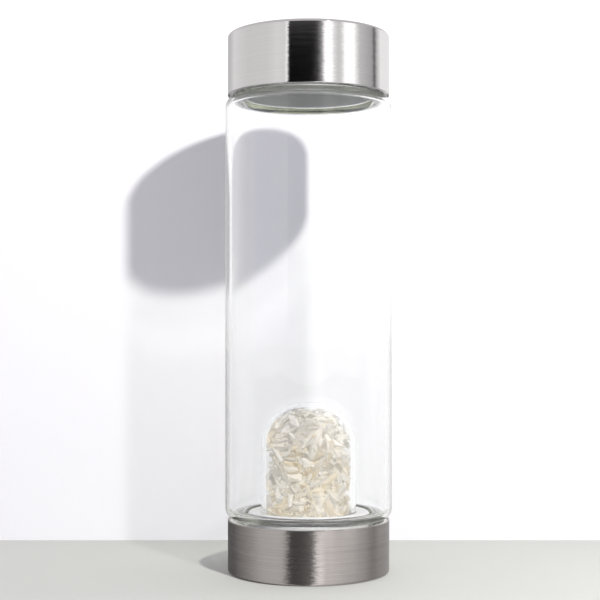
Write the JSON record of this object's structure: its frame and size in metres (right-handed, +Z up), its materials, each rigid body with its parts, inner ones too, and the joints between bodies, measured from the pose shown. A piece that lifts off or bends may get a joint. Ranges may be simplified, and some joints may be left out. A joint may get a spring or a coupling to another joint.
{
  "type": "glass water bottle with gem pod",
  "caption": "Clear cylindrical glass water bottle with a screw-on brushed steel lid, a screw-on steel base, and a small glass dome of quartz chips standing inside on the base.",
  "frame": {"origin": "centre of the base's flat underside, on the surface the bottle stands on", "axes": "+Z up along the bottle's axis, towards the lid; the threads are the only thing that is not the same all round"},
  "size_m": [0.07, 0.07, 0.2254],
  "materials": {
    "base_steel": "stainless steel brushed round the cup, warm grey",
    "lid_steel": "stainless steel, finely brushed round the cup and close to polished",
    "liner_plastic": "natural white food-grade polypropylene",
    "seal_silicone": "translucent silicone rubber",
    "white_silicone": "white silicone rubber, satin",
    "bottle_glass": "clear borosilicate glass, faintly green where it is thick",
    "pod_glass": "clear borosilicate glass",
    "clear_quartz": "broken clear quartz, partly milky, warm tint"
  },
  "bodies": {
    "base": {"base_shell": "base_steel", "base_liner": "liner_plastic", "pod_seat": "liner_plastic"},
    "pod": {"pod_dome": "pod_glass", "pod_ring": "white_silicone", "pod_plug": "white_silicone", "quartz_chip_01": "clear_quartz", "quartz_chip_02": "clear_quartz", "quartz_chip_03": "clear_quartz", "quartz_chip_04": "clear_quartz", "quartz_chip_05": "clear_quartz", "quartz_chip_06": "clear_quartz", "quartz_chip_07": "clear_quartz", "quartz_chip_08": "clear_quartz", "quartz_chip_09": "clear_quartz", "quartz_chip_10": "clear_quartz", "quartz_chip_11": "clear_quartz", "quartz_chip_12": "clear_quartz", "quartz_chip_13": "clear_quartz", "quartz_chip_14": "clear_quartz", "quartz_chip_15": "clear_quartz", "quartz_chip_16": "clear_quartz", "quartz_chip_17": "clear_quartz", "quartz_chip_18": "clear_quartz", "quartz_chip_19": "clear_quartz", "quartz_chip_20": "clear_quartz", "quartz_chip_21": "clear_quartz", "quartz_chip_22": "clear_quartz", "quartz_chip_23": "clear_quartz", "quartz_chip_24": "clear_quartz", "quartz_chip_25": "clear_quartz", "quartz_chip_26": "clear_quartz", "quartz_chip_27": "clear_quartz", "quartz_chip_28": "clear_quartz", "quartz_chip_29": "clear_quartz", "quartz_chip_30": "clear_quartz", "quartz_chip_31": "clear_quartz", "quartz_chip_32": "clear_quartz", "quartz_chip_33": "clear_quartz", "quartz_chip_34": "clear_quartz", "quartz_chip_35": "clear_quartz", "quartz_chip_36": "clear_quartz", "quartz_chip_37": "clear_quartz", "quartz_chip_38": "clear_quartz", "quartz_chip_39": "clear_quartz", "quartz_chip_40": "clear_quartz", "quartz_chip_41": "clear_quartz", "quartz_chip_42": "clear_quartz", "quartz_chip_43": "clear_quartz", "quartz_chip_44": "clear_quartz", "quartz_chip_45": "clear_quartz", "quartz_chip_46": "clear_quartz"},
    "base_seal": {"base_gasket": "seal_silicone"},
    "glass": {"glass_body": "bottle_glass"},
    "lid_seal": {"lid_gasket": "seal_silicone"},
    "lid": {"lid_shell": "lid_steel", "lid_liner": "liner_plastic", "lid_plate": "lid_steel"}
  },
  "joints": [
    {"name": "pod_lift", "type": "slide", "parent": "base", "child": "pod", "axis": [0, 0, 1], "range_m": [0, 0.016]},
    {"name": "glass_turn", "type": "hinge", "parent": "base", "child": "base_seal", "pos_m": [0, 0, 0.0054], "axis": [0, 0, 1], "range_deg": [0, 1080]},
    {"name": "glass_lift", "type": "slide", "parent": "base_seal", "child": "glass", "axis": [0, 0, 1], "range_m": [0, 0.0127]},
    {"name": "lid_lift", "type": "slide", "parent": "glass", "child": "lid_seal", "axis": [0, 0, 1], "range_m": [0, 0.0127]},
    {"name": "lid_turn", "type": "hinge", "parent": "lid_seal", "child": "lid", "pos_m": [0, 0, 0.22], "axis": [0, 0, 1], "range_deg": [0, 1080]}
  ],
  "couplings": [
    {"joint": "glass_lift", "follows": "glass_turn", "m_per_rad": 0.00067323},
    {"joint": "lid_lift", "follows": "lid_turn", "m_per_rad": 0.00067323}
  ]
}
